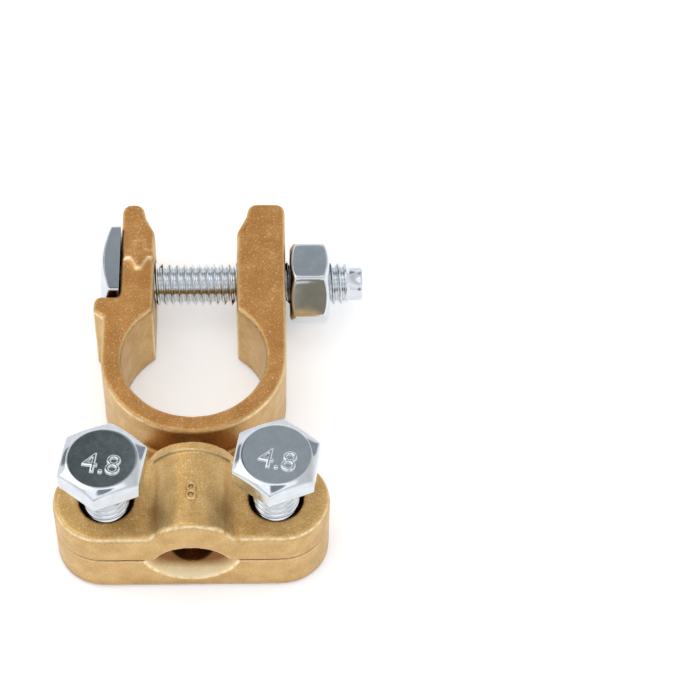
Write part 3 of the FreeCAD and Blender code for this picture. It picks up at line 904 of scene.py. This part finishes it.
# As shares of the throat's width: where the painted sheen starts, and how it and the throat's
# painted shade fade
SHEEN_FROM = 0.85
SHEEN_FADE = 0.3
THROAT_FADE = 0.2


def mark_highlit_edges(mesh, points, voxel):
    """Gives each point of the mesh its share of painted highlight: its edge's share on an edge, 0
    out of reach of one.
    """
    tree = KDTree(len(points))
    for index, (point, share) in enumerate(points):
        tree.insert(point, index)
    tree.balance()
    values = []
    for vertex in mesh.vertices:
        nearest, index, distance = tree.find(vertex.co)
        near = EDGE_GAIN * (1.0 - (distance / (EDGE_REACH * voxel * MM)) ** 2)
        values.append(points[index][1] * min(1.0, max(0.0, near)))
    mesh.attributes.new("highlit", "FLOAT", "POINT").data.foreach_set("value", values)
    print(mesh.name, "has", len(points), "edge points, and", sum(v > 0 for v in values), "of",
          len(values), "points are rubbed")


def mark_mouth(mesh):
    """Marks the bowl where the cable goes in: painted light on its flare, and painted shade in its
    brown throat.
    """
    flared, throat = [], []
    for vertex in mesh.vertices:
        x, y, z = vertex.co / MM
        inside = (x / FLARE_HALF_WIDTH) ** 2 + ((z - SEAM_HEIGHT) / FLARE_DROP) ** 2 < 1
        inside = inside and FLARE_FRONT < y < FLARE_BACK
        out = math.hypot(x / THROAT_HALF_WIDTH, (z - SEAM_HEIGHT) / THROAT_DROP)
        # Painted light on the flare round the throat, and painted shade in the throat
        sheen = min(1.0, max(0.0, (out - SHEEN_FROM) / SHEEN_FADE))
        brown = min(1.0, max(0.0, (1.0 - out) / THROAT_FADE))
        flared.append(sheen if inside else 0.0)
        throat.append(brown if inside else 0.0)
    mesh.attributes.new("flared", "FLOAT", "POINT").data.foreach_set("value", flared)
    mesh.attributes.new("throat", "FLOAT", "POINT").data.foreach_set("value", throat)

# %% [markdown]
# ## The castings: the soft skin
#
# Molten brass doesn't fill a sharp corner, and the sand gives way a little, so a casting's
# edges are soft and its faces slightly uneven. A Bevel modifier fails where many curved faces
# meet. A voxel remesh turns the crisp solid into one even skin, smoothing eases the edges, and
# a shallow cloud pattern lifts and lowers the skin by a few hundredths of a millimetre. The
# plus is coarse enough to go through the remesh. The figure on the hump is finer than the
# voxels, so it joins the skin afterwards.

# %% Soft skin
UNEVEN_HEIGHT = 0.03
UNEVEN_WIDTH = 1.6


def soft_skin(piece, voxel, smoothing):
    """The mesh of a piece after remeshing, smoothing and unevenness."""
    remesh = piece.modifiers.new("skin", "REMESH")
    remesh.mode = "VOXEL"
    remesh.voxel_size = voxel * MM
    remesh.adaptivity = 0
    smooth = piece.modifiers.new("soft_edges", "SMOOTH")
    smooth.factor = 0.5
    smooth.iterations = smoothing
    clouds = bpy.data.textures.new(f"{piece.name}_unevenness", "CLOUDS")
    clouds.noise_scale = UNEVEN_WIDTH * MM
    uneven = piece.modifiers.new("unevenness", "DISPLACE")
    uneven.texture = clouds
    uneven.texture_coords = "LOCAL"
    uneven.strength = 2 * UNEVEN_HEIGHT * MM
    uneven.mid_level = 0.5
    bpy.context.view_layer.update()
    finished = piece.evaluated_get(bpy.context.evaluated_depsgraph_get())
    skin = bpy.data.meshes.new_from_object(finished)
    piece.modifiers.clear()
    return skin


def cast_piece(node, name, brass, voxel, smoothing, marks, figures):
    """The node's solid with its marks in the soft form of a casting, and figures left crisp."""
    bm = bmesh.new()
    bm.from_mesh(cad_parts[node].data)
    for mark in marks:
        bm.from_mesh(mark)
    bmesh.ops.remove_doubles(bm, verts=bm.verts, dist=WELD_DISTANCE * MM)
    mesh = bpy.data.meshes.new(name)
    bm.to_mesh(mesh)
    for figure in figures:
        bm.from_mesh(figure)
    edge_points = points_on_edges(bm)
    bm.free()
    piece = bpy.data.objects.new(name, mesh)
    bpy.context.scene.collection.objects.link(piece)
    cast = soft_skin(piece, voxel, smoothing)
    join_marks(cast, figures)
    piece.data = cast
    mark_highlit_edges(cast, edge_points, voxel)
    mark_mouth(cast)
    cast.materials.clear()
    cast.materials.append(brass)
    cast.shade_smooth()
    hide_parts(node)
    print(name, "has", len(cast.polygons), "faces")
    return piece

# %% [markdown]
# ## The castings: the plus
#
# A plus on the left ear marks the clamp for the positive post. The mould gave it a pointed arm
# towards the ring, so it is drawn as an outline, point by point, and built up to a low block.
# Two crossed bars would be quicker, but would miss that point. Blender's extrude tool could
# pull the outline up, but it leaves its new faces in an order that changes from run to run,
# and where two walls meet, the share of their edge goes by that order. Faces that are made one
# by one stay in their order.

# %% Plus
PLUS_CENTRE = (-7.62, 16.9)
# Half of its outline, from the point towards the ring round to the far end
PLUS_HALF = [(0.3, -2.36), (1.15, -0.6), (2.05, -0.7), (2.05, 0.6), (0.6, 0.6), (0.6, 2.36)]
PLUS_RISE = 0.3


def plus_mark():
    """A mesh of the raised plus, in metres, whose lower half is sunk in the ear."""
    mesh = bpy.data.meshes.new("plus")
    bm = bmesh.new()
    outline = PLUS_HALF + [(-x, y) for x, y in reversed(PLUS_HALF)]
    middle = Vector((*PLUS_CENTRE, casting_high.z))
    foot, top = ([bm.verts.new((middle + Vector((x, y, height))) * MM) for x, y in outline]
                 for height in (-PLUS_RISE, PLUS_RISE))
    bm.faces.new(foot[::-1])
    bm.faces.new(top)
    for index in range(len(outline)):
        bm.faces.new((foot[index - 1], foot[index], top[index], top[index - 1]))
    bm.to_mesh(mesh)
    bm.free()
    return mesh

# %% [markdown]
# ## The castings: clamp and cap
#
# The big casting gets a quarter of a millimetre a voxel, which keeps it under two hundred
# thousand triangles. The small cap can have finer ones, and more rounds of smoothing, since
# each round reaches only as far as a voxel. A single figure 8 stands on the cap's hump, as a
# mould's number does.

# %% Clamp and cap
# Width of a voxel in mm, and rounds of smoothing
CLAMP_SKIN = (0.25, 4)
CAP_SKIN = (0.14, 7)
HUMP_FIGURE = "8"
HUMP_FIGURE_HEIGHT = 3.8
HUMP_FIGURE_PLACE = (0.05, -22.6, HUMP_TOP)
HUMP_FIGURE_STRETCH = 0.8

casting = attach(cast_piece(
    "clamp_body", "brass_casting", clamp_brass, *CLAMP_SKIN, [plus_mark()], []), "casting")
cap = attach(cast_piece("cable_cap", "brass_cap", cap_brass, *CAP_SKIN, [], [raised_mark(
    HUMP_FIGURE, HUMP_FIGURE_HEIGHT, HUMP_FIGURE_PLACE, 0, HUMP_FIGURE_STRETCH)]), "cap")

# %% [markdown]
# ## The studio: floor
#
# The clamp stands on a white table, as in a catalogue. A backdrop that is lit until it is
# white would flood the metal with light. So the table glows a little, but only as the camera
# and the metal see it, and it still takes the clamp's shadow.

# %% Floor
FLOOR_WIDTH = 4000.0
FLOOR_WHITE = 0.9
FLOOR_GLOW = 0.37


def studio_floor():
    material, tree, output = empty_material("white_table")
    rays = add_node(tree, "ShaderNodeLightPath")
    seen = add_node(tree, "ShaderNodeMath", {
        0: rays.outputs["Is Camera Ray"], 1: rays.outputs["Is Glossy Ray"]}, operation="MAXIMUM")
    seen = add_node(tree, "ShaderNodeMath", {
        0: seen.outputs[0], 1: rays.outputs["Is Transmission Ray"]}, operation="MAXIMUM")
    glow = add_node(tree, "ShaderNodeMath", {
        0: seen.outputs[0], 1: FLOOR_GLOW}, operation="MULTIPLY")
    shader = add_node(tree, "ShaderNodeBsdfPrincipled", {
        "Base Color": (FLOOR_WHITE, FLOOR_WHITE, FLOOR_WHITE, 1), "Roughness": 1.0,
        "Specular IOR Level": 0.0, "Emission Color": (1, 1, 1, 1),
        "Emission Strength": glow.outputs[0]})
    tree.links.new(shader.outputs["BSDF"], output.inputs["Surface"])
    mesh = bpy.data.meshes.new("floor")
    bm = bmesh.new()
    bmesh.ops.create_grid(bm, x_segments=1, y_segments=1, size=FLOOR_WIDTH * MM / 2)
    bm.to_mesh(mesh)
    bm.free()
    mesh.materials.append(material)
    floor = bpy.data.objects.new("floor", mesh)
    floor.location = (0, 0, cad_box[0][2])
    bpy.context.scene.collection.objects.link(floor)
    return floor


floor = studio_floor()
print("the floor is", round(FLOOR_WIDTH), "mm wide")

# %% [markdown]
# ## The studio: sky
#
# Bright metal shows what stands round it, and a sky of one grey would leave it flat. So the sky
# grades from white at the horizon through a bright band to light grey above, and it has the
# panels and cards that a photographer would set up: a bright panel over the front, with a
# dark card in it that shows at the front corner of each head, a wide grey card for the level
# faces, a dark one that only the left head sees, two lower ones behind, right and left, and a
# brown one low in front. Each is a soft-edged round patch that multiplies the sky.

# %% Sky
# Height above the horizon, and brightness
SKY_STOPS = [(0.0, 0.92), (0.25, 0.95), (0.5, 1.1), (0.62, 0.9), (0.8, 0.7), (1.0, 0.85)]
SKY_BLUENESS = 1.02
# Each card: the way to its middle, its inner and outer half width in degrees, and its colour
CARDS = [
    ((0.0, -0.24, 0.97), 22, 28, (1.6, 1.6, 1.6)),
    ((0.03, -0.20, 0.98), 8, 10, (0.20, 0.21, 0.23)),
    ((0.03, 0.59, 0.805), 10, 17, (0.51, 0.55, 0.58)),
    ((-0.130, 0.545, 0.825), 4.3, 5.8, (0.25, 0.27, 0.25)),
    ((0.53, 0.68, 0.51), 9, 13, (0.30, 0.32, 0.36)),
    ((-0.60, 0.60, 0.51), 9, 12, (0.22, 0.23, 0.24)),
    ((0.03, -0.985, 0.16), 12, 20, (0.28, 0.25, 0.19))]


def studio_sky():
    world = bpy.data.worlds.new("studio")
    world.use_nodes = True
    tree = world.node_tree
    tree.nodes.clear()
    toward = add_node(tree, "ShaderNodeTexCoord").outputs["Generated"]
    height = add_node(tree, "ShaderNodeSeparateXYZ", {"Vector": toward}).outputs["Z"]
    sky = through_ramp(tree, height, [(z, (v, v, v * SKY_BLUENESS, 1)) for z, v in SKY_STOPS])
    for middle, inner, outer, colour in CARDS:
        nearness = add_node(tree, "ShaderNodeVectorMath", {
            0: toward, 1: Vector(middle).normalized()}, operation="DOT_PRODUCT")
        share = add_node(tree, "ShaderNodeMapRange", {
            "Value": nearness.outputs["Value"], "From Min": math.cos(math.radians(outer)),
            "From Max": math.cos(math.radians(inner))}, interpolation_type="SMOOTHSTEP")
        sky = add_node(tree, "ShaderNodeMix", {
            SHARE: share.outputs["Result"], UNDER: sky, OVER: (*colour, 1)},
            data_type="RGBA", blend_type="MULTIPLY").outputs[MIXED]
    background = add_node(tree, "ShaderNodeBackground", {"Color": sky})
    output = add_node(tree, "ShaderNodeOutputWorld")
    tree.links.new(background.outputs["Background"], output.inputs["Surface"])
    bpy.context.scene.world = world
    print("the sky has", len(CARDS), "panels and cards")


studio_sky()

# %% [markdown]
# ## The studio: lamp
#
# The sky gives nearly all the light. A weak, broad softbox high on the left adds a little to
# it, and leans the clamp's soft shadow to the right. A small lamp would draw hard shadows
# in the ring.

# %% Lamp
LAMP_WIDTH = 500.0
LAMP_PLACE = (-350.0, 100.0, 600.0)
LAMP_POWER = 0.5

lamp_data = bpy.data.lights.new("softbox", "AREA")
lamp_data.shape = "DISK"
lamp_data.size = LAMP_WIDTH * MM
lamp_data.energy = LAMP_POWER
lamp = bpy.data.objects.new("softbox", lamp_data)
lamp.location = Vector(LAMP_PLACE) * MM
lamp.rotation_euler = (-lamp.location).to_track_quat("-Z", "Y").to_euler()
bpy.context.scene.collection.objects.link(lamp)
print("the softbox has", LAMP_POWER, "W")

# %% [markdown]
# ## The picture's tones
#
# The Standard view shows a colour as it is written, which suits a catalogue picture. A filmic view
# would grey the white table.

# %% View
bpy.context.scene.view_settings.view_transform = "Standard"
